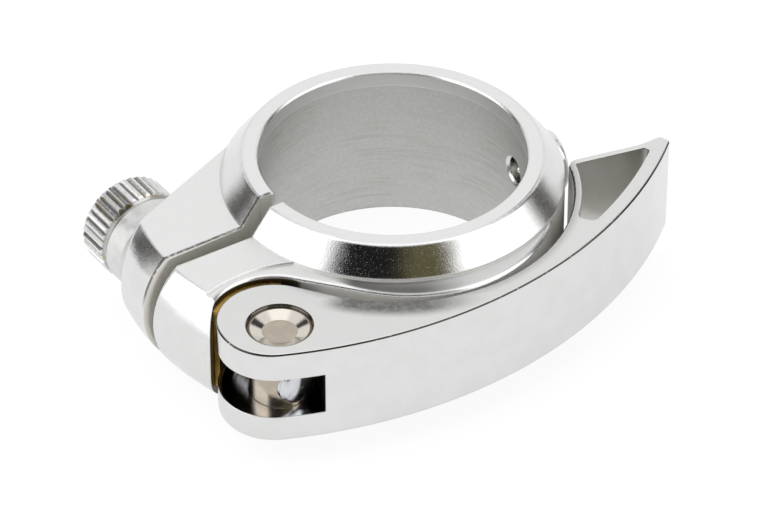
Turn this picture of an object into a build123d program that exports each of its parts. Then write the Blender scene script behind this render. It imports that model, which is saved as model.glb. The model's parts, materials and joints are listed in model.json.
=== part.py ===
"""Quick-release seatpost clamp: split collar, cam lever, barrel pin, skewer, thumb nut, liner, set screw.

Millimetres. The bore axis is Z with the collar's bottom face at Z = 0. The slit and its two ears
point towards -Y, the lever lies on the +X side and the thumb nut on the -X side.
"""
import os
from math import acos, atan2, cos, degrees, hypot, pi, radians, sin, sqrt

from build123d import *

# Collar ring
bore_d = 34.9
collar_h = 22.2
lip_step = 0.25
lip_h = 2.1
rim_wall = 1.95
foot_wall = 4.65
cone_h = 3.5
edge_bevel = 0.4
lip_bevel = 0.25
rim_round = 0.7

# Ears, ledge and slit
ear_step = 0.1
ledge_step = 0.35
ear_base = 3.0
ear_taper = 22.1
ear_inset = 0.9
ear_nose = 4.75
nose_top = 3.5
nose_base = 3.6
ear_corner = 0.9
ear_edge = 0.3
shelf_r = 17.4
shelf_web = 1.05
shelf_rise = 0.65
shelf_round = 0.6
lobe_out = 2.8
lobe_off = 6.5
lobe_dir = 74.0
slit_inner = 2.15
slit_root = 2.3
slit_end = 1.4
slit_round = 0.7

# Cam head, liner and skewer
head_r = 7.1
cam_throw = 1.4
cam_gap = 0.05
liner_t = 0.7
front_web = 7.75
liner_low = 1.6
liner_high = 0.4
liner_half = 40.0
rod_d = 5.0
rod_gap = 0.4
rod_inset = 0.5
rod_bevel = 0.5
rod_stub = 4.2
pin_d = 8.0
pin_gap = 0.05
pin_inset = 0.4
pin_rim = 0.3
pin_disc = 2.25
pin_dish = 0.6
pin_mouth = 0.2

# Lever
lever_drop = 0.55
lever_gap = 0.15
throat = 0.37
lever_off = 2.1
lever_dir = 60.6
waist = 2.6
flank_r = 62.0
tip_reach = 17.05
tip_turn = 21.6
tip_w = 1.5
tip_drop = 0.5
tip_round = 0.6
heel_in = 0.85
heel_rise = 1.1
heel_round = 1.3
bend_at = 0.75
bend_r = 8.0
slot_h = 5.9
slot_wall = 4.8
slot_tilt = 25.0
pocket_wall = 1.9
pocket_skin = 0.95
pocket_back = 0.95
pocket_turn = 127.0
pocket_round = 0.9
pocket_tip_round = 0.7
pocket_heel_round = 0.4
lever_edge = 0.3
lever_round = 0.9

# Thumb nut
nut_r = 6.35
ridge_count = 36
ridge_depth = 0.42
ridge_top = 0.35
knurl_l = 5.1
nut_bevel = 0.5
nut_bevel_h = 0.6
nut_neck = 6.15
neck_l = 4.4
neck_step = 0.5
neck_cone = 0.8
spot_depth = 0.6
seat_gap = 0.02
thread_gap = 0.03

# Set screw and its boss
screw_d = 3.5
screw_gap = 0.02
screw_turn = 8.7
screw_z = 13.45
screw_set = 0.5
screw_sink = 0.4
screw_cone = 1.5
screw_mouth = 0.3
key_af = 2.0
key_depth = 2.0
boss_r = 4.2
boss_out = 1.6
boss_round = 0.9

# Sizes that follow from the ones above
bore_r = bore_d / 2
lip_r = bore_r - lip_step
rim_r = bore_r + rim_wall
foot_r = bore_r + foot_wall
foot_z = collar_h - cone_h
ear_top = foot_z - ear_step
ledge_top = foot_z - ledge_step
rod_z = (ear_top + ear_base) / 2
rod_r = rod_d / 2
pin_r = pin_d / 2
recess_r = head_r + cam_gap + liner_t
head_x = front_web + recess_r
pin_x = head_x + cam_throw
lobe_r = foot_r + lobe_out - lobe_off
lever_top = ledge_top - lever_drop
lever_h = 2 * (lever_top - rod_z)
lever_base = lever_top - lever_h
tip_y = bore_r + tip_reach
far = 3 * foot_r


def polar(radius, turn, centre=(0, 0)):
    """Point at a radius and a turn in degrees, counted from -Y towards +X."""
    return (centre[0] + radius * sin(radians(turn)), centre[1] - radius * cos(radians(turn)))


def meet(c1, r1, c2, r2, side):
    """One crossing of two circles: side +1 is left of the way from c1 to c2, -1 is right of it."""
    dx = c2[0] - c1[0]
    dy = c2[1] - c1[1]
    d = hypot(dx, dy)
    a = (d * d + r1 * r1 - r2 * r2) / (2 * d)
    h = side * sqrt(r1 * r1 - a * a)
    return (c1[0] + (a * dx - h * dy) / d, c1[1] + (a * dy + h * dx) / d)


def swerve(c1, r1, c2, r2):
    """Ends of the inner tangent of two circles that starts left of the way from c1 to c2."""
    dx = c2[0] - c1[0]
    dy = c2[1] - c1[1]
    d = hypot(dx, dy)
    way = atan2(dy, dx) + acos((r1 + r2) / d)
    return (
        (c1[0] + r1 * cos(way), c1[1] + r1 * sin(way)),
        (c2[0] - r2 * cos(way), c2[1] - r2 * sin(way)),
    )


def hub(p, q, r):
    """Centre of the circle through three points."""
    ax = q[0] - p[0]
    ay = q[1] - p[1]
    bx = r[0] - p[0]
    by = r[1] - p[1]
    a2 = ax * ax + ay * ay
    b2 = bx * bx + by * by
    d = 2 * (ax * by - ay * bx)
    return (p[0] + (by * a2 - ay * b2) / d, p[1] + (ax * b2 - bx * a2) / d)


# The lever's inner arc clears the ledge, and the cam head clears that arc
lobe_c = polar(lobe_off, lobe_dir)
inner_c = polar(lever_off, lever_dir)
lever_in_r = lobe_r + hypot(lobe_c[0] - inner_c[0], lobe_c[1] - inner_c[1]) + lever_gap
rod_y = inner_c[1] - sqrt((lever_in_r + throat + head_r) ** 2 - (head_x - inner_c[0]) ** 2)
head_c = (head_x, rod_y)
pin_c = (pin_x, rod_y)
nose_r = hypot(head_x, rod_y) + ear_nose
waist_x = inner_c[0] + sqrt(lever_in_r**2 - inner_c[1] ** 2) + waist
flank_c = meet(head_c, flank_r - head_r, (waist_x, 0), flank_r, 1)
rod_axis = Axis((0, rod_y, rod_z), (1, 0, 0))
rod_plane = Plane(origin=(0, rod_y, rod_z), x_dir=(1, 0, 0), z_dir=(0, -1, 0))
# The skewer shifts sideways by the cam throw as the lever opens, so its holes are that much longer
slot_len = 2 * (rod_r + rod_gap) + cam_throw
slot_y = rod_y - cam_throw / 2

# The two ears with their turned nose, the cam recess and the ledge that runs on beside the lever
cos_t = cos(radians(ear_taper))
sin_t = sin(radians(ear_taper))
flank_d = foot_r - ear_inset
root_y = -foot_r / 2
past_y = -1.1 * nose_r
flank_root = (-(flank_d + sin_t * root_y) / cos_t, root_y)
flank_past = (-(flank_d + sin_t * past_y) / cos_t, past_y)
# The nut's seat is a spot-face cut into the sloped flank of the rear ear
spot_x = spot_depth - (flank_d + sin_t * rod_y) / cos_t
seat_x = spot_x - seat_gap
neck_x = seat_x - neck_l
nut_back = knurl_l - neck_x
lip_pt = meet((0, 0), nose_r, head_c, recess_r, -1)
lip_past = (1.1 * lip_pt[0], 1.1 * lip_pt[1])
ledge_out, ledge_in = swerve(lobe_c, lobe_r, head_c, recess_r)
web_pt = (2 * ledge_in[0] - head_x, 2 * ledge_in[1] - rod_y)
shelf_c = (front_web - shelf_web + shelf_r, rod_y + shelf_rise)
head_plane = Plane(origin=(*head_c, 0), x_dir=(1, 0, 0), z_dir=(0, -1, 0))
head_axis = Axis((*head_c, 0), (0, 0, 1))
shelf_low = ledge_top - shelf_round
shelf_out = recess_r + shelf_round
shelf_mid = shelf_round * (1 - sqrt(0.5))
# The slit's edges are eased along the nose, which is an arc round nose_c in the plane of the slit
nose_low = (nose_r - nose_base, ear_base)
nose_high = (nose_r - nose_top, ear_top)
nose_c = hub(nose_low, (nose_r, rod_z), nose_high)
nose_arc_r = hypot(nose_low[0] - nose_c[0], nose_low[1] - nose_c[1])
nose_half_turn = atan2(ear_top - nose_c[1], nose_high[0] - nose_c[0]) + 0.1
ease_plane = Plane(
    origin=(0, -nose_c[0], nose_c[1]),
    x_dir=(1, 0, 0),
    z_dir=(0, sin(nose_half_turn), -cos(nose_half_turn)),
)
ease_axis = Axis((0, -nose_c[0], nose_c[1]), (-1, 0, 0))
ease_in = nose_arc_r - slit_round
ease_out = nose_arc_r + slit_round
ease_x = slit_end / 2 + slit_round
ease_mid = (ease_x - slit_round * sqrt(0.5), ease_in + slit_round * sqrt(0.5))
slit_run = [
    (slit_root / 2, -rim_r),
    (slit_end / 2, -nose_r),
    (slit_end / 2, past_y),
    (-slit_end / 2, past_y),
    (-slit_end / 2, -nose_r),
    (-slit_root / 2, -rim_r),
]

with BuildPart() as ledge:
    with BuildSketch(Plane.XY.offset(ear_base)) as ledge_plan:
        with BuildLine():
            Polyline(web_pt, ledge_in, ledge_out, lobe_c, close=True)
        make_face()
        with Locations(lobe_c):
            Circle(lobe_r)
    extrude(amount=ledge_top - ear_base)
    ledge_edges = ledge.edges().group_by(Axis.Z)[-1]
    fillet(ledge_edges.sort_by_distance((*ledge_out, ledge_top))[:2], shelf_round)

with BuildPart() as ears:
    with BuildSketch(Plane.XY.offset(ear_base)) as ear_plan:
        with BuildLine():
            Polyline(
                (0, root_y), flank_root, flank_past, lip_past, head_c, ledge_in, web_pt, close=True
            )
        make_face()
    extrude(amount=ear_top - ear_base)
    with BuildSketch(Plane.XZ) as nose_half:
        with BuildLine():
            ThreePointArc(nose_low, (nose_r, rod_z), nose_high)
            Polyline(nose_high, (0, ear_top), (0, ear_base), nose_low)
        make_face()
    revolve(axis=Axis.Z, mode=Mode.INTERSECT)
    fillet(ears.edges().sort_by_distance((flank_past[0], -nose_r, rod_z))[0], ear_corner)
    top_edges = ears.edges().group_by(Axis.Z)[-1]
    fillet(top_edges.filter_by(GeomType.CIRCLE).sort_by(SortBy.RADIUS)[-1], ear_edge)
    with BuildSketch(Plane.XY.offset(ledge_top)) as shelf_plan:
        with Locations(shelf_c):
            Circle(shelf_r)
    extrude(amount=collar_h, mode=Mode.SUBTRACT)
    with BuildSketch(head_plane) as recess_half:
        with BuildLine():
            ThreePointArc(
                (recess_r, shelf_low),
                (recess_r + shelf_mid, ledge_top - shelf_mid),
                (shelf_out, ledge_top),
            )
            Polyline((shelf_out, ledge_top), (shelf_out, collar_h), (0, collar_h), (0, 0), (recess_r, 0))
            Line((recess_r, 0), (recess_r, shelf_low))
        make_face()
    revolve(axis=head_axis, mode=Mode.SUBTRACT)
    with BuildSketch(Plane.XY):
        with BuildLine():
            Polyline(*slit_run, close=True)
        make_face()
    extrude(amount=collar_h, mode=Mode.SUBTRACT)
    with BuildSketch(ease_plane) as slit_ease:
        with BuildLine():
            Line((-slit_end / 2, ease_in), (slit_end / 2, ease_in))
            ThreePointArc((slit_end / 2, ease_in), ease_mid, (ease_x, nose_arc_r))
            Polyline((ease_x, nose_arc_r), (ease_x, ease_out), (-ease_x, ease_out), (-ease_x, nose_arc_r))
            ThreePointArc((-ease_x, nose_arc_r), (-ease_mid[0], ease_mid[1]), (-slit_end / 2, ease_in))
        make_face()
    revolve(axis=ease_axis, revolution_arc=2 * degrees(nose_half_turn), mode=Mode.SUBTRACT)

# Ring with its conical shoulder, the ears and the boss of the set screw
screw_out = foot_r + boss_out
screw_plane = Plane(
    origin=(0, 0, screw_z),
    x_dir=(cos(radians(screw_turn)), -sin(radians(screw_turn)), 0),
    z_dir=(sin(radians(screw_turn)), cos(radians(screw_turn)), 0),
)

with BuildPart() as collar:
    with BuildSketch(screw_plane.offset(rim_r)) as boss_plan:
        Circle(boss_r)
    extrude(amount=screw_out - rim_r)
    fillet(collar.edges().filter_by(GeomType.CIRCLE).sort_by(Axis.Y)[-1], boss_round)
    with BuildSketch(Plane.XZ) as ring_half:
        with BuildLine():
            Polyline(
                (0, 0),
                (foot_r - edge_bevel, 0),
                (foot_r, edge_bevel),
                (foot_r, foot_z),
                (rim_r, collar_h),
                (0, collar_h),
                close=True,
            )
        make_face()
        fillet(ring_half.vertices().sort_by(Axis.Y)[-2:].sort_by(Axis.X)[-1], rim_round)
    revolve(axis=Axis.Z)
    add(ledge.part)
    add(ears.part)
    with BuildSketch(Plane.XZ) as bore_half:
        with BuildLine():
            Polyline(
                (0, 0),
                (bore_r, 0),
                (bore_r, collar_h - lip_h),
                (lip_r, collar_h - lip_h),
                (lip_r, collar_h - lip_bevel),
                (lip_r + lip_bevel, collar_h),
                (0, collar_h),
                close=True,
            )
        make_face()
    revolve(axis=Axis.Z, mode=Mode.SUBTRACT)
    with BuildSketch(Plane.XY) as slit_plan:
        with BuildLine():
            Polyline(
                (-slit_inner / 2, -rim_r),
                (-slit_inner / 2, 0),
                (slit_inner / 2, 0),
                (slit_inner / 2, -rim_r),
                *slit_run,
                close=True,
            )
        make_face()
    extrude(amount=collar_h, mode=Mode.SUBTRACT)
    with BuildSketch(Plane.YZ) as rod_hole:
        with Locations((slot_y, rod_z)):
            SlotOverall(slot_len, 2 * (rod_r + rod_gap))
    extrude(amount=head_x, both=True, mode=Mode.SUBTRACT)
    with BuildSketch(Plane.YZ.offset(spot_x)) as nut_spot:
        with Locations((slot_y, rod_z)):
            SlotOverall(2 * (nut_neck + rod_gap) + cam_throw, 2 * (nut_neck + rod_gap))
    extrude(amount=-far, mode=Mode.SUBTRACT)
    with BuildSketch(screw_plane) as screw_hole:
        Circle(screw_d / 2 + screw_gap)
    extrude(amount=2 * foot_r, mode=Mode.SUBTRACT)
    with BuildSketch(screw_plane.offset(bore_r - screw_mouth)):
        Circle(screw_d / 2 + screw_gap + 2 * screw_mouth)
    extrude(amount=2 * screw_mouth, taper=45, mode=Mode.SUBTRACT)

# Lever: eccentric cam head, thin curved waist round the ring and a hollow finger end
inner_end = polar(lever_in_r, 180 - tip_turn, inner_c)
tip_x = flank_c[0] + sqrt(flank_r**2 - (tip_y - flank_c[1]) ** 2)
heel = (inner_end[0] - heel_in, inner_end[1] + heel_rise)
crest = (tip_x - tip_w, tip_y - tip_drop)
bend = (crest[0], heel[1] + bend_at * (crest[1] - heel[1]))
flank_dir = atan2(rod_y - flank_c[1], head_x - flank_c[0])
head_edge = (head_x + 2 * head_r * cos(flank_dir), rod_y + 2 * head_r * sin(flank_dir))
throat_in, throat_out = swerve(inner_c, lever_in_r, head_c, head_r)
pin_plane = Plane(origin=(*pin_c, 0), x_dir=(1, 0, 0), z_dir=(0, -1, 0))
pin_axis = Axis((*pin_c, 0), (0, 0, 1))
hole_r = pin_r + pin_gap

with BuildPart() as lever:
    with BuildSketch(Plane.XY.offset(lever_base)) as lever_plan:
        with Locations(flank_c):
            Circle(flank_r)
        with Locations(inner_c):
            Circle(lever_in_r, mode=Mode.SUBTRACT)
        with BuildLine():
            Polyline(
                head_c,
                head_edge,
                (far, rod_y),
                (far, tip_y),
                (tip_x, tip_y),
                crest,
                bend,
                heel,
                inner_end,
                inner_c,
                throat_in,
                throat_out,
                close=True,
            )
        make_face(mode=Mode.INTERSECT)
        with Locations(head_c):
            Circle(head_r)
        fillet(lever_plan.vertices().sort_by_distance(heel)[0], heel_round)
        fillet(lever_plan.vertices().sort_by_distance(bend)[0], bend_r)
        fillet(lever_plan.vertices().sort_by_distance(crest)[0], tip_round)
        fillet(lever_plan.vertices().sort_by_distance((tip_x, tip_y))[0], tip_round)
    extrude(amount=lever_h)
    fillet(lever.faces().sort_by(Axis.Z)[-1].edges(), lever_edge)
    fillet(lever.faces().sort_by(Axis.Z)[0].edges(), lever_round)
    with BuildSketch(Plane.XY.offset(rod_z - slot_h / 2)) as fork_slot:
        with Locations(Location((pin_x, rod_y, 0), (0, 0, -slot_tilt))):
            with Locations((0, slot_wall - far / 2)):
                Rectangle(far, far)
    extrude(amount=slot_h, mode=Mode.SUBTRACT)
    with BuildSketch(pin_plane) as pin_hole:
        with BuildLine():
            Polyline(
                (0, lever_base),
                (hole_r + pin_mouth, lever_base),
                (hole_r, lever_base + pin_mouth),
                (hole_r, lever_top - pin_mouth),
                (hole_r + pin_mouth, lever_top),
                (0, lever_top),
                close=True,
            )
        make_face()
    revolve(axis=pin_axis, mode=Mode.SUBTRACT)
    with BuildSketch(Plane.XY) as pocket_plan:
        with Locations(flank_c):
            Circle(flank_r - pocket_wall)
        with Locations(inner_c):
            Circle(lever_in_r + pocket_skin, mode=Mode.SUBTRACT)
        with BuildLine():
            Polyline(
                (2 * heel[0] - bend[0] + pocket_back, 2 * heel[1] - bend[1]),
                (2 * bend[0] - heel[0] + pocket_back, 2 * bend[1] - heel[1]),
                (far, far),
                polar(1.6 * foot_r, pocket_turn),
                polar(bore_r, pocket_turn),
                close=True,
            )
        make_face(mode=Mode.INTERSECT)
        pocket_end = pocket_plan.vertices().sort_by(Axis.Y)[:2]
        end_w = pocket_end[0].distance_to(pocket_end[1])
        fillet(pocket_end, min(pocket_round, 0.4 * end_w))
        fillet(pocket_plan.vertices().sort_by(Axis.Y)[-1], pocket_tip_round)
        pocket_heel = pocket_plan.vertices().sort_by(Axis.X)[0]
        heel_w = pocket_plan.vertices().sort_by_distance(pocket_heel)[1].distance_to(pocket_heel)
        fillet(pocket_heel, min(pocket_heel_round, 0.3 * heel_w))
    extrude(amount=collar_h, mode=Mode.SUBTRACT)

# Barrel pin with dished ends and a cross hole for the skewer
pin_low = lever_base + pin_inset
pin_high = lever_top - pin_inset
with BuildPart() as barrel_pin:
    with BuildSketch(pin_plane):
        with BuildLine():
            Polyline(
                (0, pin_low + pin_dish),
                (pin_disc, pin_low + pin_dish),
                (pin_r - pin_rim, pin_low),
                (pin_r, pin_low),
                (pin_r, pin_high),
                (pin_r - pin_rim, pin_high),
                (pin_disc, pin_high - pin_dish),
                (0, pin_high - pin_dish),
                close=True,
            )
        make_face()
    revolve(axis=pin_axis)
    with BuildSketch(Plane.YZ):
        with Locations((rod_y, rod_z)):
            Circle(rod_r)
    extrude(amount=far, mode=Mode.SUBTRACT)

with BuildPart() as skewer_rod:
    with BuildSketch(Plane.YZ.offset(-nut_back + rod_inset)):
        with Locations((rod_y, rod_z)):
            Circle(rod_r)
    extrude(amount=nut_back - rod_inset + pin_x + rod_stub)
    chamfer(skewer_rod.edges().filter_by(GeomType.CIRCLE), rod_bevel)

# Thumb nut: straight ridges, bevelled at both ends, and a smooth neck that seats on the ear
half_pitch = pi / ridge_count
ridges = []
for i in range(ridge_count):
    for radius, side in ((nut_r, -ridge_top), (nut_r, ridge_top), (nut_r - ridge_depth, 1)):
        angle = (2 * i + side) * half_pitch
        ridges.append((radius * cos(angle), radius * sin(angle)))

with BuildPart() as thumb_nut:
    with BuildSketch(Plane.YZ.offset(-nut_back)):
        with Locations((rod_y, rod_z)):
            Polygon(*ridges, align=None)
    extrude(amount=knurl_l)
    with BuildSketch(rod_plane):
        with BuildLine():
            Polyline(
                (-nut_back, 0),
                (-nut_back, nut_r - nut_bevel_h),
                (-nut_back + nut_bevel, nut_r),
                (neck_x - nut_bevel, nut_r),
                (neck_x, nut_r - nut_bevel_h),
                (neck_x, 0),
                close=True,
            )
        make_face()
    revolve(axis=rod_axis, mode=Mode.INTERSECT)
    with BuildSketch(rod_plane):
        with BuildLine():
            Polyline(
                (neck_x, 0),
                (neck_x, nut_neck - neck_step),
                (neck_x + neck_cone, nut_neck),
                (seat_x - neck_step, nut_neck),
                (seat_x, nut_neck - neck_step),
                (seat_x, 0),
                close=True,
            )
        make_face()
    revolve(axis=rod_axis)
    with BuildSketch(Plane.YZ):
        with Locations((rod_y, rod_z)):
            Circle(rod_r + thread_gap)
    extrude(amount=-far, mode=Mode.SUBTRACT)

# Brass liner of the cam recess, with the skewer's long hole
with BuildPart() as cam_liner:
    with BuildSketch(Plane.XY.offset(lever_base + liner_low)):
        with Locations(head_c):
            Circle(recess_r)
            Circle(recess_r - liner_t, mode=Mode.SUBTRACT)
        with BuildLine():
            Polyline(
                head_c,
                polar(far, 270 - liner_half, head_c),
                polar(far, 270 + liner_half, head_c),
                close=True,
            )
        make_face(mode=Mode.INTERSECT)
    extrude(amount=lever_h - liner_low - liner_high)
    with BuildSketch(Plane.YZ):
        with Locations((slot_y, rod_z)):
            SlotOverall(slot_len, 2 * (rod_r + rod_gap))
    extrude(amount=head_x, mode=Mode.SUBTRACT)

# Set screw with a cone point towards the bore and a hexagon socket outside
screw_tip = bore_r + screw_set
screw_l = screw_out - screw_tip - screw_sink
with BuildPart() as set_screw:
    with BuildSketch(screw_plane.offset(screw_tip)):
        Circle(screw_d / 2)
    extrude(amount=screw_l)
    chamfer(set_screw.edges().filter_by(GeomType.CIRCLE).sort_by(Axis.Y)[0], screw_cone)
    with BuildSketch(screw_plane.offset(screw_tip + screw_l)):
        RegularPolygon(key_af / 2, 6, major_radius=False)
    extrude(amount=-key_depth, mode=Mode.SUBTRACT)

collar.part.label = "collar"
lever.part.label = "lever"
barrel_pin.part.label = "barrel_pin"
skewer_rod.part.label = "skewer_rod"
thumb_nut.part.label = "thumb_nut"
cam_liner.part.label = "cam_liner"
set_screw.part.label = "set_screw"

os.makedirs("parts", exist_ok=True)
export_step(collar.part, "parts/collar.step")
export_step(lever.part, "parts/lever.step")
export_step(barrel_pin.part, "parts/barrel_pin.step")
export_step(skewer_rod.part, "parts/skewer_rod.step")
export_step(thumb_nut.part, "parts/thumb_nut.step")
export_step(cam_liner.part, "parts/cam_liner.step")
export_step(set_screw.part, "parts/set_screw.step")
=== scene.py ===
"""Looks of the quick-release seatpost clamp: finishes, rolled thread, studio and camera."""

import json
from math import cos, radians, sin

import bpy
import numpy as np
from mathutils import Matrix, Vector


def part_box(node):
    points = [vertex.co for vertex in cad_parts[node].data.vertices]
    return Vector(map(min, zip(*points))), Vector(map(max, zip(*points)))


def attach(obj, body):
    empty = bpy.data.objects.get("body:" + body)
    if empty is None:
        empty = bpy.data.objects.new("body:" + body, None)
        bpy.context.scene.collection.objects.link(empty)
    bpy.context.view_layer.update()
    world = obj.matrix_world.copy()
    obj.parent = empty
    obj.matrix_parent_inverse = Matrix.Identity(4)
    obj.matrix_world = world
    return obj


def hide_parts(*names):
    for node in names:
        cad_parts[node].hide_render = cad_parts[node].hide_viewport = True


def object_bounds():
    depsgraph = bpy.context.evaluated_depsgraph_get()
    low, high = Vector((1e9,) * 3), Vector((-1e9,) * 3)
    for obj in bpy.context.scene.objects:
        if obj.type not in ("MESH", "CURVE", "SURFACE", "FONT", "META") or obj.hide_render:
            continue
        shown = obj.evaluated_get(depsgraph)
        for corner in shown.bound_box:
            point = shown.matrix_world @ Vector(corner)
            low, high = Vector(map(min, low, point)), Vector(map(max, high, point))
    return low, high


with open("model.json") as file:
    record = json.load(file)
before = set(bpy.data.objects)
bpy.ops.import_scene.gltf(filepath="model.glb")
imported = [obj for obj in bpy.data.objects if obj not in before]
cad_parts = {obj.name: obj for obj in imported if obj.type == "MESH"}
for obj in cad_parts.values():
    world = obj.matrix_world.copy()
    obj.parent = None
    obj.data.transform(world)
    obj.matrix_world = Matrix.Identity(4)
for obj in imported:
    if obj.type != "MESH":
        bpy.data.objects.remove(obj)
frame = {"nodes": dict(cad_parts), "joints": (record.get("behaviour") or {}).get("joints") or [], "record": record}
cad_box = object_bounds()
node = frame["nodes"]
mm = 0.001

# Camera: direction of the view in degrees, its distance, the point that it looks at, and its lens
view_turn = 56.07
view_rise = 37.936
view_far = 600 * mm
view_aim = Vector((4.3257, -4.2413, 10.0)) * mm
image_w = 768
focal_px = 4682.3
sensor = 36.0
clip_near = 0.01
clip_far = 20.0

# Rolled thread at both ends of the skewer, in millimetres
thread_pitch = 0.8
thread_depth = 0.42
thread_long = 12.0
thread_fade = 1.5
end_fade = 0.3
end_bevel = 0.45

# Wave of the thread: how far it is stretched and lowered before its crests and roots are cut flat
wave_gain = 1.35
wave_drop = 0.2

# Grid of the skewer: fine rows over each thread, plain rows over the whole rod, and columns round it
fine_step = 0.05
fine_long = 13.0
plain_rows = 60
round_columns = 64

# Places and radii on the object in millimetres, from the frame
swing, follow, spin = ([c / mm for c in row["pos_m"]] for row in frame["joints"])
bore_axis = (0, 0)
head_axis = swing[:2]
pin_axis = follow[:2]
rod_y = head_axis[1]
rod_z = spin[2]
bore_r = frame["record"]["mounts"][0]["dims"]["r_mm"]
recess_r = head_axis[0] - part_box("cam_liner")[0].x / mm
pin_r = (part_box("barrel_pin")[1].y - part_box("barrel_pin")[0].y) / mm / 2
nut_r = (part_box("thumb_nut")[1].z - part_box("thumb_nut")[0].z) / mm / 2
nut_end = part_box("thumb_nut")[0].x / mm
lever_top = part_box("lever")[1].z / mm

# Ring, slit, ledge, lever's arcs, fork slot and knurling in millimetres, and the slot's tilt
ring_thick = 4.65
collar_r = bore_r + ring_thick
lip_drop = 2.1
lip_z = cad_box[1].z / mm - lip_drop
slit_half = 1.15
ledge_axis = (6.25, -1.79)
ledge_r = 18.4
ledge_rise = 0.55
ledge_z = lever_top + ledge_rise
arc_axis = (1.83, -1.03)
arc_r = 23.03
flank_axis = (-34.32, -5.41)
flank_r = 62.0
slot_half = 2.95
slot_wall = 4.8
slot_tilt = radians(25)
slot_way = (sin(slot_tilt), cos(slot_tilt), 0)
slot_end = pin_axis[0] * slot_way[0] + pin_axis[1] * slot_way[1] + slot_wall
knurl_long = 5.1
nut_step = nut_end + knurl_long

# Soft borders on the collar in millimetres: where a mask starts, and where it is full
collar_satin_border = (-0.2, 0.0)
bore_border = (bore_r + 0.08, bore_r + 0.02)
bore_lip_border = (lip_z - 0.03, lip_z + 0.03)
bore_line_border = (0.12, 0.04)
slit_border = (slit_half + 0.06, slit_half - 0.02)
slit_front = (-bore_r, -bore_r - 0.5)
slit_lip_border = (-slit_half - 0.55, -slit_half - 0.35)
rear_side = (0, -0.1)
ledge_top = (ledge_z + 0.2, ledge_z + 0.05)
ledge_foot = (ledge_z - 0.7, ledge_z - 0.5)
ledge_inner = (collar_r - 0.15, collar_r + 0.15)
ledge_fade = (3.5, 0.8)
ledge_lip = (0.1, 0.5)
ring_wall_border = (collar_r - 0.15, collar_r - 0.05)
lever_side = (8, 14)
recess_border = (recess_r + 0.12, recess_r + 0.02)

# Soft borders on the lever in millimetres
lever_satin_border = (lever_top - 1.2, lever_top - 1.0)
reflection_border = (3.6, 1.5)
brink_border = (1.6, 0.0)
arc_wall_border = (0.12, 0.04)
pocket_inner = (0.5, 0.8)
pocket_outer = (1.2, 1.5)
pocket_from = (5.0, 8.0)
lever_edge_border = (lever_top - 0.34, lever_top - 0.28)
slot_end_border = (slot_end + 0.1, slot_end + 0.02)
slot_between = (slot_half, slot_half - 0.05)
slot_roof = (slot_half + 0.1, slot_half + 0.02)

# Soft borders on the pin, the liner and the nut in millimetres, and how far the tarnish wanders
pin_rim_border = (pin_r - 0.34, pin_r - 0.18)
tarnish_border = (-0.02, 0.12)
tarnish_shift = 0.25
groove_border = (nut_r - 0.12, nut_r - 0.34)
knurl_inner = (nut_step + 0.2, nut_step - 0.2)
knurl_outer = (nut_end + 0.1, nut_end + 0.6)
neck_border = (nut_step, nut_step + 0.2)

# Soft borders in degrees round the lever's inner arc of the stretch where the cone's dark reflection is painted
reflection_from = (-57, -47)
reflection_until = (-4, -27)

# Soft borders of the normal's upward part, and of its part along y in the finger pocket
level_top = (0.97, 0.997)
top_face = (0.9, 0.99)
upward_face = (0.2, 0.5)
upward_lip = (0.05, 0.4)
wall_face = (0.3, 0.1)
under_face = (-0.9, -0.99)
edge_below_top = (0.93, 0.8)
edge_above_wall = (0.1, 0.3)
cone_below_top = (0.99, 0.96)
cone_above_wall = (0.5, 0.7)
pocket_facing = (0.5, 0.2)

# Noises of the finishes: scale per millimetre, detail and roughness
chrome_cloud = (0.35, 2.0, 0.5)
forging_grain = (6.0, 3.0, 0.65)
chrome_specks = (9.0, 1.0, 0.5)
grinding_marks = (1.6, 4.0, 0.6)
dust_specks = (5.0, 2.0, 0.7)
patchy_spots = (1.8, 3.0, 0.5)
turning_marks = (1.0, 5.0, 0.7)
stain_patches = (0.11, 1.0, 0.5)
bore_spots = (2.2, 4.0, 0.75)
saw_marks = (1.2, 3.0, 0.5)
reflection_clouds = (1.5, 4.0, 0.65)
cast_clouds = (0.4, 3.0, 0.5)
nickel_cloud = (0.8, 2.0, 0.5)
nickel_grain = (5.0, 3.0, 0.5)
brass_marks = (2.0, 3.0, 0.5)
tarnish_wave = (0.9, 2.0, 0.5)
nut_cloud = (0.7, 2.0, 0.5)
nut_grain = (3.5, 3.0, 0.6)
nut_dirt = (0.5, 3.0, 0.5)
small_cloud = (0.6, 2.0, 0.5)
small_grain = (2.0, 3.0, 0.5)

# Stretch of the marks along x, y and z, where a small number draws them out
grinding_stretch = (0.6, 8.0, 1.0)
turning_stretch = (0.25, 0.25, 7.0)
rubbing_stretch = (0.10, 0.10, 3.0)
saw_stretch = (1.0, 1.0, 6.0)
brass_stretch = (2.0, 2.0, 0.3)

# Ranges of a noise: its middle, nearly all of it, and those of single marks
noise_middle = (0.35, 0.65)
noise_wide = (0.3, 0.7)
speck_range = (0.63, 0.73)
stain_range = (0.45, 0.66)
patch_range = (0.45, 0.62)
bore_spot_range = (0.38, 0.62)
lip_patch_range = (0.3, 0.5)
edge_patch_range = (0.26, 0.34)
reflection_range = (0.3, 0.6)
dirt_range = (0.45, 0.62)

# Strength of the marks and of the painted reflections: the most, or at the start and at the end of a mask
speck_most = 0.26
dust_most = 0.08
patch_share = (0.1, 0.42)
bore_spot_most = 0.4
lip_patch_share = (0.35, 0.85)
ledge_share = (0.3, 0.5)
ledge_least = 0.3
ledge_gain = 1.6
reflection_most = 0.88
brink_most = 0.4
reflection_share = (0.8, 1.0)

# Chrome: strength of its pebbles, height of ground marks, and the reach in millimetres and border of the painted
# shade in nooks
collar_pebble = 1.0
lever_pebble = 0.45
ground_height = 0.35
nook_reach = 5.0
nook_border = (0.85, 0.25)

# Rays that look for nooks and for edges
nook_rays = 8
edge_rays = 6

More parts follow.
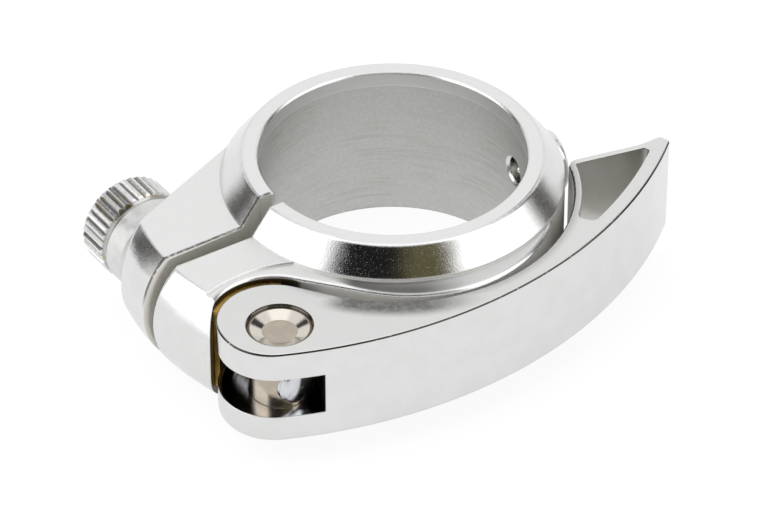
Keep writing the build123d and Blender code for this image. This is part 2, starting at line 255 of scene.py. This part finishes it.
# Metal lost in the ring's wall behind the lever, and metal left in the lever's inner wall
ring_wall_dull = 0.6
arc_wall_metal = 0.2

# Relief of the finishes in millimetres: depth of the grain, and radius of the softened edges
collar_relief = (0.014, 0.35)
lever_relief = (0.02, 0.2)
pin_relief = (0.004, 0.06)
liner_relief = (0.008, 0.08)
nut_relief = (0.014, 0.06)
small_relief = (0.003, 0.1)

# Roughness of the finishes: least and most, or one value
bright_rough = (0.05, 0.09)
satin_rough = (0.30, 0.42)
bore_rough = (0.38, 0.5)
slit_rough = 0.55
ledge_rough = 0.4
ring_wall_rough = 0.42
recess_rough = 0.4
arc_wall_rough = 0.38
cast_rough = 0.2
slot_rough = 0.4
nickel_rough = (0.16, 0.24)
cone_rough = 0.09
brass_rough = (0.3, 0.46)
nut_rough = (0.08, 0.18)
neck_rough = (0.32, 0.5)
zinc_rough = (0.16, 0.26)
screw_rough = (0.14, 0.22)

# Colours of the chromed pieces
chrome_dim = (0.765, 0.765, 0.76, 1)
chrome_light = (0.79, 0.79, 0.79, 1)
collar_satin = (0.87, 0.87, 0.865, 1)
lever_satin = (0.79, 0.79, 0.785, 1)
dust_grey = (0.55, 0.55, 0.54, 1)
# Grey of the painted shade in nooks
nook_painted_shade = (0.40, 0.395, 0.385, 1)
bore_dark = (0.60, 0.60, 0.585, 1)
bore_light = (0.68, 0.68, 0.665, 1)
bore_stain = (0.40, 0.375, 0.335, 1)
bore_mottle = (0.50, 0.50, 0.485, 1)
bore_lip = (0.66, 0.66, 0.65, 1)
# Colour of the painted highlight line in the bore
bore_painted_highlight = (0.88, 0.88, 0.87, 1)
# Dark colour of the painted reflection on the rear ear's lip
slit_lip_reflection = (0.07, 0.068, 0.062, 1)
slit_dark = (0.38, 0.37, 0.33, 1)
slit_light = (0.52, 0.51, 0.47, 1)
# Dark colour of the painted reflection on the ledge
ledge_painted_reflection = (0.13, 0.128, 0.12, 1)
ring_wall = (0.60, 0.59, 0.56, 1)
# Dark brown of the painted shade in the recess
recess_painted_shade = (0.06, 0.045, 0.025, 1)
# Dark colour of the painted reflection on the lever's top
lever_painted_reflection = (0.10, 0.098, 0.09, 1)
arc_wall = (0.70, 0.69, 0.66, 1)
cast_dark = (0.56, 0.55, 0.52, 1)
cast_light = (0.72, 0.71, 0.68, 1)
lever_edge = (0.07, 0.065, 0.055, 1)
# Black of the painted shade in the fork slot
slot_painted_shade = (0.05, 0.045, 0.04, 1)
nut_dark = (0.72, 0.72, 0.71, 1)
nut_light = (0.79, 0.79, 0.79, 1)
# Grey of the painted shade in the nut's grooves, and brown of the dirt there
groove_shade_grey = (0.46, 0.46, 0.455, 1)
groove_brown = (0.42, 0.37, 0.26, 1)

# Colours of the pin, the liner, the skewer and the set screw
nickel_dark = (0.48, 0.42, 0.35, 1)
nickel_light = (0.53, 0.47, 0.39, 1)
nickel_cone = (0.72, 0.68, 0.62, 1)
grease_brown = (0.16, 0.12, 0.085, 1)
brass_dark = (0.42, 0.25, 0.045, 1)
brass_light = (0.66, 0.45, 0.13, 1)
brass_tarnish = (0.16, 0.10, 0.03, 1)
zinc_dark = (0.60, 0.61, 0.64, 1)
zinc_light = (0.70, 0.71, 0.74, 1)
screw_dark = (0.84, 0.82, 0.78, 1)
screw_light = (0.92, 0.91, 0.88, 1)

# Tent round the object: soft borders in degrees aside from the camera and above the floor
opening_side = (46, 38)
opening_top = (58, 47)
opening_foot = (14, 26)
olive_from = (2, 14)
box_inner = (40, 50)
box_outer = (108, 98)
gap_inner = (100, 110)
gap_outer = (130, 120)
gap_top = (44, 34)
roof_from = (66, 76)
stand_turn = 141
stand_wide = (8, 4)
stand_rise = 42
stand_tall = (11, 6)

# Colours of the tent and the floor
white = (1, 1, 1, 1)
tent_white = (0.93, 0.93, 0.93, 1)
box_white = (1.6, 1.6, 1.6, 1)
roof_white = (1.3, 1.3, 1.3, 1)
gap_grey = (0.12, 0.115, 0.11, 1)
stand_black = (0.05, 0.05, 0.05, 1)
opening_black = (0.012, 0.012, 0.012, 1)
opening_olive = (0.12, 0.11, 0.055, 1)
floor_pale = (0.93, 0.93, 0.93, 1)
floor_mirror = (0.86, 0.86, 0.86, 1)

# Light of the tent, shares of glow that the eye and a mirror see in the floor, and half its side in metres
tent_light = 0.8
floor_glow = 0.92
floor_shine = 0.85
floor_half = 3.0

# Lamps: turn from the camera's side and rise in degrees, and power in watts; distance and size in metres
lamps = {"lamp_left": (-75, 50, 9.0), "lamp_top": (150, 75, 7.0)}
lamp_far = 1.2
lamp_size = 0.9


class Net:
    """Short calls for building one node tree; a value is a number, a colour or another node's output."""

    def __init__(self, tree):
        self.tree = tree
        tree.nodes.clear()

    def node(self, kind, values=(), **settings):
        """New node with its settings and with its inputs, by name or number, linked or set."""
        made = self.tree.nodes.new("ShaderNode" + kind)
        for name, value in settings.items():
            setattr(made, name, value)
        for name, value in dict(values).items():
            if isinstance(value, bpy.types.NodeSocket):
                self.tree.links.new(value, made.inputs[name])
            else:
                made.inputs[name].default_value = value
        return made

    def math(self, what, *values):
        """One operation on numbers."""
        return self.node("Math", enumerate(values), operation=what).outputs[0]

    def every(self, first, *others):
        """Product of shares, which is full only where all of them are."""
        whole = first
        for share in others:
            whole = self.math("MULTIPLY", whole, share)
        return whole

    def apart(self, a, b):
        """How far two numbers are apart."""
        return self.math("ABSOLUTE", self.math("SUBTRACT", a, b))

    def from_axis(self, p, q, centre):
        """Distance from an axis that meets the plane of p and q at a centre."""
        dp = self.math("SUBTRACT", p, centre[0])
        dq = self.math("SUBTRACT", q, centre[1])
        squares = self.math("ADD", self.math("MULTIPLY", dp, dp), self.math("MULTIPLY", dq, dq))
        return self.math("SQRT", squares)

    def span(self, value, start, end, low=0.0, high=1.0):
        """Smooth step of a value from start to end, mapped to low and high."""
        ends = {"Value": value, "From Min": start, "From Max": end, "To Min": low, "To Max": high}
        return self.node("MapRange", ends, interpolation_type="SMOOTHSTEP").outputs["Result"]

    def mix(self, share, a, b):
        """Colour a where share is 0 and colour b where it is 1."""
        return self.node("Mix", {0: share, 6: a, 7: b}, data_type="RGBA").outputs[2]

    def blend(self, share, a, b):
        """Number a where share is 0 and number b where it is 1."""
        return self.node("Mix", {0: share, 2: a, 3: b}, data_type="FLOAT").outputs[0]

    def shade(self, share, a, b):
        """Shader a where share is 0 and shader b where it is 1."""
        return self.node("MixShader", {0: share, 1: a.outputs[0], 2: b.outputs[0]})

    def noise(self, place, scale, detail, rough):
        """Cloudy noise from 0 to 1."""
        values = {"Vector": place, "Scale": scale, "Detail": detail, "Roughness": rough}
        return self.node("TexNoise", values).outputs["Fac"]

    def stretch(self, place, scale):
        """Place, scaled along each axis."""
        return self.node("Mapping", {"Vector": place, "Scale": scale}).outputs[0]

    def dot(self, place, way):
        """How far a place lies along a way."""
        return self.node("VectorMath", {0: place, 1: way}, operation="DOT_PRODUCT").outputs["Value"]

    def parts(self, place):
        """The three parts of a place or a normal."""
        return self.node("SeparateXYZ", {"Vector": place}).outputs


class Coat(Net):
    """Finish of one piece: a place in millimetres, a normal, and layers of colour, roughness and height."""

    def __init__(self, name, relief):
        self.material = bpy.data.materials.new(name)
        self.material.use_nodes = True
        super().__init__(self.material.node_tree)
        self.depth, self.soft = relief
        where = self.node("TexCoord")
        self.place = self.stretch(where.outputs["Object"], (1 / mm, 1 / mm, 1 / mm))
        self.x, self.y, self.z = self.parts(self.place)
        normal = self.parts(where.outputs["Normal"])
        self.ny = normal["Y"]
        self.nz = normal["Z"]

    def base(self, tint, rough, height):
        """First layer, over the whole surface."""
        self.tint = tint
        self.rough = rough
        self.height = height

    def cover(self, share, tint, rough=None, height=None):
        """Another colour, and another roughness and height where given, over a share of the surface."""
        self.tint = self.mix(share, self.tint, tint)
        if rough is not None:
            self.rough = self.blend(share, self.rough, rough)
        if height is not None:
            self.height = self.blend(share, self.height, height)

    def soft_edge(self):
        """Normal with softened edges."""
        return self.node("Bevel", {"Radius": self.soft * mm}, samples=edge_rays).outputs[0]

    def finish(self, metallic=1.0):
        """Metal shader with the coat's layers, bumped over the softened edges."""
        edge = self.soft_edge()
        relief = {"Strength": 1.0, "Distance": self.depth * mm, "Height": self.height, "Normal": edge}
        bumped = self.node("Bump", relief).outputs[0]
        sockets = {"Base Color": self.tint, "Roughness": self.rough, "Metallic": metallic, "Normal": bumped}
        shader = self.node("BsdfPrincipled", sockets)
        self.node("OutputMaterial", {"Surface": shader.outputs[0]})
        return self.material


def plating(coat, pebble, satin_border, satin):
    """Bright chrome: pebbled over the forging, ground satin on level tops, dusty there, with painted shade in
    nooks.
    """
    cloud = coat.noise(coat.place, *chrome_cloud)
    grain = coat.noise(coat.place, *forging_grain)
    speck = coat.span(coat.noise(coat.place, *chrome_specks), *speck_range, high=speck_most)
    tint = coat.mix(coat.span(cloud, *noise_middle), chrome_dim, chrome_light)
    bright = coat.span(cloud, *noise_wide, *bright_rough)
    bright = coat.math("ADD", bright, coat.math("MULTIPLY", speck, pebble))
    coat.base(tint, bright, coat.math("MULTIPLY", grain, pebble))
    level = coat.parts(coat.soft_edge())["Z"]
    flat = coat.every(coat.span(level, *level_top), coat.span(coat.z, *satin_border))
    ground = coat.noise(coat.stretch(coat.place, grinding_stretch), *grinding_marks)
    ground_rough = coat.span(ground, *noise_wide, *satin_rough)
    coat.cover(flat, satin, ground_rough, coat.math("MULTIPLY", ground, ground_height))
    dust = coat.span(coat.noise(coat.place, *dust_specks), *noise_middle, high=dust_most)
    coat.cover(coat.every(flat, dust), dust_grey)
    nook = coat.node("AmbientOcclusion", {"Distance": nook_reach * mm}, samples=nook_rays).outputs["AO"]
    # Painted shade: grey where ambient occlusion finds other surfaces close by
    coat.cover(coat.span(nook, *nook_border), nook_painted_shade)


def cone_reflection_stretch(coat):
    """Share of the stretch between head and waist where ledge and lever lie close under the cone, and where the
    cone's dark reflection is painted on them.
    """
    dx = coat.math("SUBTRACT", coat.x, arc_axis[0])
    dy = coat.math("SUBTRACT", coat.y, arc_axis[1])
    angle = coat.math("DEGREES", coat.math("ARCTAN2", dy, dx))
    return coat.every(coat.span(angle, *reflection_from), coat.span(angle, *reflection_until))


def turned_bore(coat, away):
    """Bore with turning marks, brownish stains, a fine mottle, a paler lip and a painted highlight line under it.
    """
    inside = coat.every(coat.span(away, *bore_border), coat.span(coat.nz, *wall_face))
    turned = coat.noise(coat.stretch(coat.place, turning_stretch), *turning_marks)
    rubbed = coat.noise(coat.stretch(coat.place, rubbing_stretch), *turning_marks)
    patches = coat.span(coat.noise(coat.place, *stain_patches), *patch_range, *patch_share)
    spots = coat.span(coat.noise(coat.place, *bore_spots), *bore_spot_range, high=bore_spot_most)
    tint = coat.mix(coat.span(turned, *noise_wide), bore_dark, bore_light)
    tint = coat.mix(coat.every(coat.span(rubbed, *stain_range), patches), tint, bore_stain)
    tint = coat.mix(spots, tint, bore_mottle)
    tint = coat.mix(coat.span(coat.z, *bore_lip_border), tint, bore_lip)
    # Painted highlight: thin bright line at the foot of the lip
    tint = coat.mix(coat.span(coat.apart(coat.z, lip_z), *bore_line_border), tint, bore_painted_highlight)
    rough = coat.span(turned, *noise_wide, *bore_rough)
    coat.cover(inside, tint, rough, coat.math("MULTIPLY", turned, ground_height))


def sawn_slit(coat):
    """Slit with sawn grey walls and a painted dark reflection on the lip along the rear ear; returns the walls'
    share.
    """
    front = coat.span(coat.y, *slit_front)
    lip = coat.every(coat.span(coat.x, *slit_lip_border), coat.span(coat.x, *rear_side), front)
    patchy = coat.span(coat.noise(coat.place, *patchy_spots), *lip_patch_range, *lip_patch_share)
    # Painted reflection: dark line on the rear ear's rounded lip, broken into patches
    coat.cover(coat.every(lip, coat.span(coat.nz, *upward_lip), patchy), slit_lip_reflection)
    walls = coat.every(coat.span(coat.math("ABSOLUTE", coat.x), *slit_border), front)
    sawn = coat.noise(coat.stretch(coat.place, saw_stretch), *saw_marks)
    coat.cover(walls, coat.mix(sawn, slit_dark, slit_light), slit_rough)
    return walls


def paint_ledge_reflection(coat, away):
    """Ledge beside the lever, with a painted dark reflection of the cone that is strongest below the cone, and
    with its outer lip left out of it.
    """
    to_edge = coat.math("SUBTRACT", ledge_r, coat.from_axis(coat.x, coat.y, ledge_axis))
    ledge = coat.every(coat.span(coat.z, *ledge_top), coat.span(coat.z, *ledge_foot))
    ledge = coat.every(ledge, coat.span(coat.nz, *upward_face), coat.span(away, *ledge_inner))
    ledge = coat.every(ledge, coat.span(to_edge, *ledge_fade, *ledge_share), coat.span(to_edge, *ledge_lip))
    ledge = coat.every(ledge, coat.math("MULTIPLY_ADD", cone_reflection_stretch(coat), ledge_gain, ledge_least))
    # Painted reflection of the cone's dark patch on the ledge
    coat.cover(ledge, ledge_painted_reflection)
    coat.rough = coat.math("MAXIMUM", coat.rough, coat.math("MULTIPLY", ledge, ledge_rough))


def collar_chrome():
    """Chrome of the collar with its bore, slit, ledge and painted shade in its recess, and a dull wall behind the
    lever.
    """
    coat = Coat("collar_chrome", collar_relief)
    plating(coat, collar_pebble, collar_satin_border, collar_satin)
    away = coat.from_axis(coat.x, coat.y, bore_axis)
    turned_bore(coat, away)
    slit_walls = sawn_slit(coat)
    paint_ledge_reflection(coat, away)
    behind = coat.every(coat.span(coat.x, *lever_side), coat.span(coat.nz, *wall_face))
    behind = coat.every(behind, coat.span(away, *ring_wall_border))
    coat.cover(behind, ring_wall, ring_wall_rough)
    recess = coat.span(coat.from_axis(coat.x, coat.y, head_axis), *recess_border)
    # Painted shade: dark brown on the recess wall round the lever's head
    coat.cover(recess, recess_painted_shade, recess_rough)
    dull = coat.math("MAXIMUM", slit_walls, coat.math("MULTIPLY", behind, ring_wall_dull))
    return coat.finish(metallic=coat.blend(dull, 1.0, 0.0))


def paint_top_reflection(coat, inward):
    """Painted dark reflection on the lever's top along its inner arc, wide where the cone is near and narrow
    elsewhere.
    """
    wide = coat.every(coat.span(inward, *reflection_border, high=reflection_most), cone_reflection_stretch(coat))
    dark_reflection = coat.math("MAXIMUM", wide, coat.span(inward, *brink_border, high=brink_most))
    uneven = coat.span(coat.noise(coat.place, *reflection_clouds), *reflection_range, *reflection_share)
    # Painted reflection: dark colour on the lever's top where the cone and the gap beside the collar are reflected
    coat.cover(coat.every(coat.span(coat.nz, *top_face), dark_reflection, uneven), lever_painted_reflection)


def cast_pocket(coat, inward):
    """Finger pocket with cast walls."""
    outward = coat.math("SUBTRACT", flank_r, coat.from_axis(coat.x, coat.y, flank_axis))
    pocket = coat.every(coat.span(inward, *pocket_inner), coat.span(outward, *pocket_outer))
    pocket = coat.every(pocket, coat.span(coat.nz, *wall_face), coat.span(coat.y, *pocket_from))
    pocket = coat.every(pocket, coat.span(coat.ny, *pocket_facing))
    cast = coat.mix(coat.noise(coat.place, *cast_clouds), cast_dark, cast_light)
    coat.cover(pocket, cast, cast_rough)


def dark_edge(coat):
    """Dark line in patches on the rounding between the lever's top and its sides."""
    edge = coat.every(coat.span(coat.nz, *edge_below_top), coat.span(coat.nz, *edge_above_wall))
    patchy = coat.span(coat.noise(coat.place, *patchy_spots), *edge_patch_range)
    coat.cover(coat.every(edge, coat.span(coat.z, *lever_edge_border), patchy), lever_edge)


def fork_slot(coat):
    """Fork slot, with painted shade in black at its end and on its roof."""
    off = coat.apart(coat.z, rod_z)
    along = coat.dot(coat.place, slot_way)
    end = coat.every(coat.span(along, *slot_end_border), coat.span(off, *slot_between))
    roof = coat.every(coat.span(coat.nz, *under_face), coat.span(off, *slot_roof))
    # Painted shade: black at the slot's end and on its roof
    coat.cover(coat.math("MAXIMUM", end, roof), slot_painted_shade, slot_rough)


def lever_chrome():
    """Chrome of the lever with a dull wall along its inner arc, a finger pocket and a fork slot."""
    coat = Coat("lever_chrome", lever_relief)
    plating(coat, lever_pebble, lever_satin_border, lever_satin)
    inward = coat.math("SUBTRACT", coat.from_axis(coat.x, coat.y, arc_axis), arc_r)
    paint_top_reflection(coat, inward)
    wall = coat.every(coat.span(inward, *arc_wall_border), coat.span(coat.nz, *wall_face))
    coat.cover(wall, arc_wall, arc_wall_rough)
    cast_pocket(coat, inward)
    dark_edge(coat)
    fork_slot(coat)
    return coat.finish(metallic=coat.blend(wall, 1.0, arc_wall_metal))


def pin_nickel():
    """Warm nickel of the cross pin, brighter on the dished ends' cones, with old grease round the rims."""
    coat = Coat("pin_nickel", pin_relief)
    cloud = coat.noise(coat.place, *nickel_cloud)
    grain = coat.noise(coat.place, *nickel_grain)
    tint = coat.mix(coat.span(cloud, *noise_middle), nickel_dark, nickel_light)
    coat.base(tint, coat.span(grain, *noise_wide, *nickel_rough), grain)
    cone = coat.every(coat.span(coat.nz, *cone_below_top), coat.span(coat.nz, *cone_above_wall))
    coat.cover(cone, nickel_cone, cone_rough)
    rim = coat.span(coat.from_axis(coat.x, coat.y, pin_axis), *pin_rim_border)
    coat.cover(coat.every(rim, coat.span(coat.nz, *upward_face)), grease_brown)
    return coat.finish()


def liner_brass():
    """Brass sheet, bright on its inner half and tarnished brown on its outer half."""
    coat = Coat("liner_brass", liner_relief)
    marks = coat.noise(coat.stretch(coat.place, brass_stretch), *brass_marks)
    tint = coat.mix(marks, brass_dark, brass_light)
    coat.base(tint, coat.span(marks, *noise_wide, *brass_rough), marks)
    outward = coat.math("SUBTRACT", coat.from_axis(coat.x, coat.y, head_axis), recess_r)
    shift = coat.math("MULTIPLY", coat.noise(coat.place, *tarnish_wave), tarnish_shift)
    coat.cover(coat.span(coat.math("ADD", outward, shift), *tarnish_border), brass_tarnish)
    return coat.finish()


def nut_chrome():
    """Chrome of the nut, bright on the ridges, with painted shade and a little brown dirt in the grooves, and a
    cast neck.
    """
    coat = Coat("nut_chrome", nut_relief)
    cloud = coat.noise(coat.place, *nut_cloud)
    grain = coat.noise(coat.place, *nut_grain)
    tint = coat.mix(coat.span(cloud, *noise_middle), nut_dark, nut_light)
    ridge_rough = coat.span(grain, *noise_wide, *nut_rough)
    cast_neck = coat.span(cloud, *noise_wide, *neck_rough)
    coat.base(tint, coat.blend(coat.span(coat.x, *neck_border), ridge_rough, cast_neck), grain)
    groove = coat.span(coat.from_axis(coat.y, coat.z, (rod_y, rod_z)), *groove_border)
    groove = coat.every(groove, coat.span(coat.x, *knurl_inner), coat.span(coat.x, *knurl_outer))
    dirt = coat.span(coat.noise(coat.place, *nut_dirt), *dirt_range)
    # Painted shade in the grooves in grey, with brown dirt where its noise is high
    coat.cover(groove, coat.mix(dirt, groove_shade_grey, groove_brown))
    return coat.finish()


def plain_metal(name, dark, light, rough):
    """Metal with cloudy colour and roughness and a fine grain, for the small pieces."""
    coat = Coat(name, small_relief)
    cloud = coat.noise(coat.place, *small_cloud)
    grain = coat.noise(coat.place, *small_grain)
    tint = coat.mix(coat.span(cloud, *noise_middle), dark, light)
    coat.base(tint, coat.span(grain, *noise_wide, *rough), grain)
    return coat.finish()


def turned_piece(name, grid, material):
    """Closed surface from a grid of points, rows along the piece and columns round it.

    The first and the last row are single points, the poles. Faces join each point with the next row
    and the next column, and the last column with the first.
    """
    rows, cols = grid.shape[0] - 2, grid.shape[1]
    points = np.concatenate([grid[0, :1], grid[1:-1].reshape(-1, 3), grid[-1, :1]])
    ring = np.arange(cols)
    after = np.roll(ring, -1)
    step = np.arange(rows - 1)[:, None] * cols + 1
    quads = np.stack([step + ring, step + after, step + cols + after, step + cols + ring], -1)
    quads = quads.reshape(-1, 4)
    first = np.stack([np.zeros(cols, int), 1 + after, 1 + ring], -1)
    last_row = 1 + (rows - 1) * cols
    last = np.stack([np.full(cols, len(points) - 1), last_row + ring, last_row + after], -1)
    corners = np.concatenate([quads.ravel(), first.ravel(), last.ravel()])
    starts = np.concatenate([np.arange(len(quads)) * 4, len(quads) * 4 + np.arange(2 * cols) * 3])
    mesh = bpy.data.meshes.new(name)
    mesh.vertices.add(len(points))
    mesh.vertices.foreach_set("co", points.ravel() * mm)
    mesh.loops.add(len(corners))
    mesh.loops.foreach_set("vertex_index", corners.astype(np.int32))
    mesh.polygons.add(len(starts))
    mesh.polygons.foreach_set("loop_start", starts.astype(np.int32))
    mesh.polygons.foreach_set("use_smooth", np.ones(len(starts), bool))
    mesh.update(calc_edges=True)
    mesh.validate()
    mesh.materials.append(material)
    piece = bpy.data.objects.new(name, mesh)
    bpy.context.scene.collection.objects.link(piece)
    return piece


def threaded_skewer(material):
    """Skewer with a rolled thread at both ends.

    At a distance x along the rod and an angle a round it, the radius is the rod's radius minus the
    thread depth times a wave of x over the pitch plus a over one turn. The wave is a triangle with
    flattened crests and roots. It fades out towards the smooth middle and the bevelled ends.
    """
    low, high = (np.array(corner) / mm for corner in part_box("skewer_rod"))
    middle = (low + high) / 2
    rod_r = (high[2] - low[2]) / 2
    fine = np.arange(0, fine_long, fine_step)
    plain = np.linspace(low[0], high[0], plain_rows)
    x = np.unique(np.concatenate([low[0] + fine, high[0] - fine, plain]))
    a = np.linspace(0, 2 * np.pi, round_columns, endpoint=False)
    wave = np.abs(((x[:, None] / thread_pitch + a / (2 * np.pi)) % 1.0) * 2 - 1)
    wave = np.clip(wave * wave_gain - wave_drop, 0, 1)
    to_end = np.minimum(x - low[0], high[0] - x)
    threaded = np.clip((thread_long - to_end) / thread_fade, 0, 1) * np.clip(to_end / end_fade, 0, 1)
    radius = rod_r - thread_depth * threaded[:, None] * wave
    radius = np.minimum(radius, rod_r - end_bevel + to_end[:, None])
    along = np.broadcast_to(x[:, None], wave.shape)
    rows = np.stack([along, middle[1] + radius * np.cos(a), middle[2] + radius * np.sin(a)], -1)
    poles = np.array([[low[0], middle[1], middle[2]], [high[0], middle[1], middle[2]]])
    poles = np.broadcast_to(poles[:, None], (2, round_columns, 3))
    rod = turned_piece("skewer_thread", np.concatenate([poles[:1], rows, poles[1:]]), material)
    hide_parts("skewer_rod")
    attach(rod, "skewer")


def dress(name, material):
    """Gives a node its material and weights its normals by face area, so that flat faces stay flat."""
    piece = node[name]
    piece.data.materials.clear()
    piece.data.materials.append(material)
    even = piece.modifiers.new("even_normals", "WEIGHTED_NORMAL")
    even.mode = "FACE_AREA"
    even.keep_sharp = True


def way_from(turn, rise):
    """Direction at a turn from the camera's side and a rise above the floor, both in degrees."""
    a = radians(view_turn + turn)
    e = radians(rise)
    return Vector((sin(a) * cos(e), -cos(a) * cos(e), sin(e)))


def seen_directly(net, path):
    """Share of the rays that come from the camera, straight or through something clear."""
    return net.math("MAXIMUM", path.outputs["Is Camera Ray"], path.outputs["Is Transmission Ray"])


def studio():
    """White tent: softboxes left and right, a pale roof, and a dim opening where the camera stands."""
    world = bpy.data.worlds.new("tent")
    bpy.context.scene.world = world
    world.use_nodes = True
    net = Net(world.node_tree)
    way = net.node("TexCoord").outputs["Generated"]
    ahead = net.dot(way, way_from(0, 0))
    right = net.dot(way, way_from(90, 0))
    turn = net.math("DEGREES", net.math("ARCTAN2", right, ahead))
    aside = net.math("ABSOLUTE", turn)
    rise = net.math("DEGREES", net.math("ARCSINE", net.parts(way)["Z"]))
    # Softboxes on both sides, the roof, and a grey gap beyond each softbox
    box = net.every(net.span(aside, *box_inner), net.span(aside, *box_outer))
    gap = net.every(net.span(aside, *gap_inner), net.span(aside, *gap_outer), net.span(rise, *gap_top))
    tent = net.mix(box, tent_white, box_white)
    tent = net.mix(net.span(rise, *roof_from), tent, roof_white)
    tent = net.mix(gap, tent, gap_grey)
    # Lamp stand behind the object on each side
    stand = net.span(net.apart(aside, stand_turn), *stand_wide)
    stand = net.every(stand, net.span(net.apart(rise, stand_rise), *stand_tall))
    tent = net.mix(stand, tent, stand_black)
    # Opening of the tent, black on the left of the camera and a dull olive on its right
    opening = net.every(net.span(aside, *opening_side), net.span(rise, *opening_top))
    opening = net.every(opening, net.span(rise, *opening_foot))
    dark = net.mix(net.span(turn, *olive_from), opening_black, opening_olive)
    tent = net.mix(opening, tent, dark)
    # Metal shows the tent, other surfaces get plain light, and the eye sees white
    path = net.node("LightPath")
    plain = net.node("Background", {"Color": white, "Strength": tent_light})
    mirrored = net.node("Background", {"Color": tent, "Strength": 1.0})
    backdrop = net.node("Background", {"Color": white, "Strength": 1.0})
    lit = net.shade(path.outputs["Is Glossy Ray"], plain, mirrored)
    shown = net.shade(seen_directly(net, path), lit, backdrop)
    net.node("OutputWorld", {"Surface": shown.outputs[0]})


def floor():
    """Wide pale sheet under the object, white to the eye with the object's soft shadow on it."""
    low = cad_box[0].z
    signs = [(-1, -1), (1, -1), (1, 1), (-1, 1)]
    mesh = bpy.data.meshes.new("floor")
    mesh.from_pydata([(x * floor_half, y * floor_half, low) for x, y in signs], [], [(0, 1, 2, 3)])
    sheet = bpy.data.objects.new("floor", mesh)
    bpy.context.scene.collection.objects.link(sheet)
    material = bpy.data.materials.new("floor_white")
    material.use_nodes = True
    net = Net(material.node_tree)
    path = net.node("LightPath")
    matte = net.node("BsdfDiffuse", {"Color": floor_pale})
    glow = net.node("Emission", {"Color": white, "Strength": 1.0})
    mirrored = net.node("Emission", {"Color": floor_mirror, "Strength": 1.0})
    lit = net.shade(net.math("MULTIPLY", seen_directly(net, path), floor_glow), matte, glow)
    shown = net.shade(net.math("MULTIPLY", path.outputs["Is Glossy Ray"], floor_shine), lit, mirrored)
    net.node("OutputMaterial", {"Surface": shown.outputs[0]})
    mesh.materials.append(material)


def softbox(name, turn, rise, power):
    """Square lamp that points at the object from a turn about the camera's side and a rise."""
    lamp = bpy.data.lights.new(name, "AREA")
    lamp.shape = "SQUARE"
    lamp.size = lamp_size
    lamp.energy = power
    holder = bpy.data.objects.new(name, lamp)
    way = way_from(turn, rise)
    holder.location = view_aim + way * lamp_far
    holder.rotation_mode = "QUATERNION"
    holder.rotation_quaternion = way.to_track_quat("Z", "Y")
    holder.visible_glossy = False
    bpy.context.scene.collection.objects.link(holder)


def camera():
    """Long lens at the photograph's viewing angle."""
    data = bpy.data.cameras.new("camera")
    data.sensor_width = sensor
    data.lens = focal_px * sensor / image_w
    data.clip_start = clip_near
    data.clip_end = clip_far
    eye = bpy.data.objects.new("camera", data)
    back = way_from(0, view_rise)
    eye.location = view_aim + back * view_far
    eye.rotation_mode = "QUATERNION"
    eye.rotation_quaternion = (-back).to_track_quat("-Z", "Y")
    bpy.context.scene.collection.objects.link(eye)
    bpy.context.scene.camera = eye


# Finishes of the nodes, and the threaded skewer in the place of the plain rod
rod_zinc = plain_metal("rod_zinc", zinc_dark, zinc_light, zinc_rough)
dress("collar", collar_chrome())
dress("lever", lever_chrome())
dress("barrel_pin", pin_nickel())
dress("skewer_rod", rod_zinc)
dress("thumb_nut", nut_chrome())
dress("cam_liner", liner_brass())
dress("set_screw", plain_metal("screw_steel", screw_dark, screw_light, screw_rough))
threaded_skewer(rod_zinc)

# Studio, lamps and camera
studio()
floor()
for lamp_name, (lamp_turn, lamp_rise, lamp_power) in lamps.items():
    softbox(lamp_name, lamp_turn, lamp_rise, lamp_power)
camera()
bpy.context.scene.view_settings.view_transform = "Standard"
